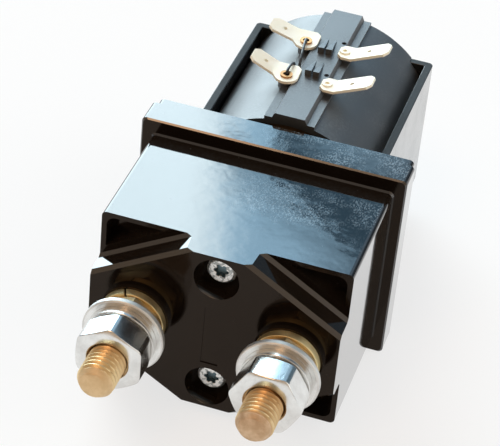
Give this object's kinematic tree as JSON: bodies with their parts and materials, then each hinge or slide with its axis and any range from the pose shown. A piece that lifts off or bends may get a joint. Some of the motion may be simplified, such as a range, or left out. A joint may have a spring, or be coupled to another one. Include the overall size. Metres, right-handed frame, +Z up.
{
  "type": "contactor",
  "caption": "Direct-current contactor with power studs on a black contact cover, and a coil with blade terminals in a bent steel magnet frame.",
  "frame": {"origin": "middle of the part's length and width, on the surface that it lies on", "axes": "+Y along the plunger's axis from the studs to the coil's end, +X to the right with the studs towards the viewer, +Z up on the side of the blade terminals"},
  "size_m": [0.073, 0.148, 0.064],
  "materials": {
    "cover_plastic": "polished black thermoset moulding",
    "base_plastic": "polished black thermoset moulding",
    "coil_plastic": "satin grey-black moulding",
    "bobbin_plastic": "plain black moulding",
    "yoke_paint": "satin black paint on bent steel strip",
    "passivated_steel": "zinc plate with a pale yellow passivate",
    "bare_steel": "turned steel",
    "zinc_steel": "bright zinc plate",
    "dark_steel": "oiled dark spring steel",
    "spring_steel": "drawn wire",
    "silver": "dull silver alloy",
    "copper": "drawn copper",
    "brass": "drawn brass",
    "stud_brass": "cut thread, slightly tarnished",
    "bronze": "dull phosphor bronze",
    "terminal_brass": "pale stamped brass",
    "eyelet_copper": "copper eyelet filled with solder",
    "brown_fibre": "brown insulating board",
    "buffer_rubber": "plain",
    "lead_insulation": "enamelled lead in a dark sleeve"
  },
  "bodies": {
    "frame": {"contact_cover": "cover_plastic", "base_plate": "base_plastic", "screw_insert_upper": "brass", "screw_insert_lower": "brass", "frame_screw_left": "zinc_steel", "frame_screw_right": "zinc_steel", "pole_plate": "passivated_steel", "pole_core": "bare_steel", "magnet_yoke": "yoke_paint", "coil_bobbin": "bobbin_plastic", "coil_winding": "copper", "coil_moulding": "coil_plastic", "coil_end_washer": "brown_fibre", "guide_tube": "brass", "end_buffer": "buffer_rubber", "return_spring": "spring_steel", "stud_left": "stud_brass", "stud_right": "stud_brass", "fixed_tip_left": "silver", "fixed_tip_right": "silver", "split_washer_left": "bronze", "split_washer_right": "bronze", "half_nut_left": "stud_brass", "half_nut_right": "stud_brass", "plain_washer_left": "zinc_steel", "plain_washer_right": "zinc_steel", "spring_washer_left": "zinc_steel", "spring_washer_right": "zinc_steel", "stud_nut_left": "zinc_steel", "stud_nut_right": "zinc_steel", "cover_screw_upper": "zinc_steel", "cover_screw_lower": "zinc_steel", "terminal_left_near": "terminal_brass", "terminal_left_far": "terminal_brass", "terminal_right_near": "terminal_brass", "terminal_right_far": "terminal_brass", "eyelet_near": "eyelet_copper", "eyelet_far": "eyelet_copper", "rivet_near": "terminal_brass", "rivet_far": "terminal_brass", "lead_near": "lead_insulation", "lead_far": "lead_insulation"},
    "armature": {"plunger": "bare_steel", "push_rod": "bare_steel", "rod_clip_front": "dark_steel", "rod_clip_rear": "dark_steel", "spring_seat": "bare_steel", "contact_spring": "spring_steel"},
    "bridge": {"bridge_washer": "brown_fibre", "bridge_bush": "brown_fibre", "contact_bridge": "copper", "moving_tip_left": "silver", "moving_tip_right": "silver"}
  },
  "joints": [
    {"name": "armature_slide", "type": "slide", "parent": "frame", "child": "armature", "axis": [0, -1, 0], "range_m": [0, 0.0042], "stiffness_N_per_m": 1500, "springref_m": -0.004, "deforming": ["return_spring", "contact_spring"]},
    {"name": "bridge_slide", "type": "slide", "parent": "frame", "child": "bridge", "axis": [0, -1, 0], "range_m": [0, 0.00315]}
  ],
  "couplings": [
    {"joint": "bridge_slide", "follows": "armature_slide", "ratio": 0.75}
  ]
}
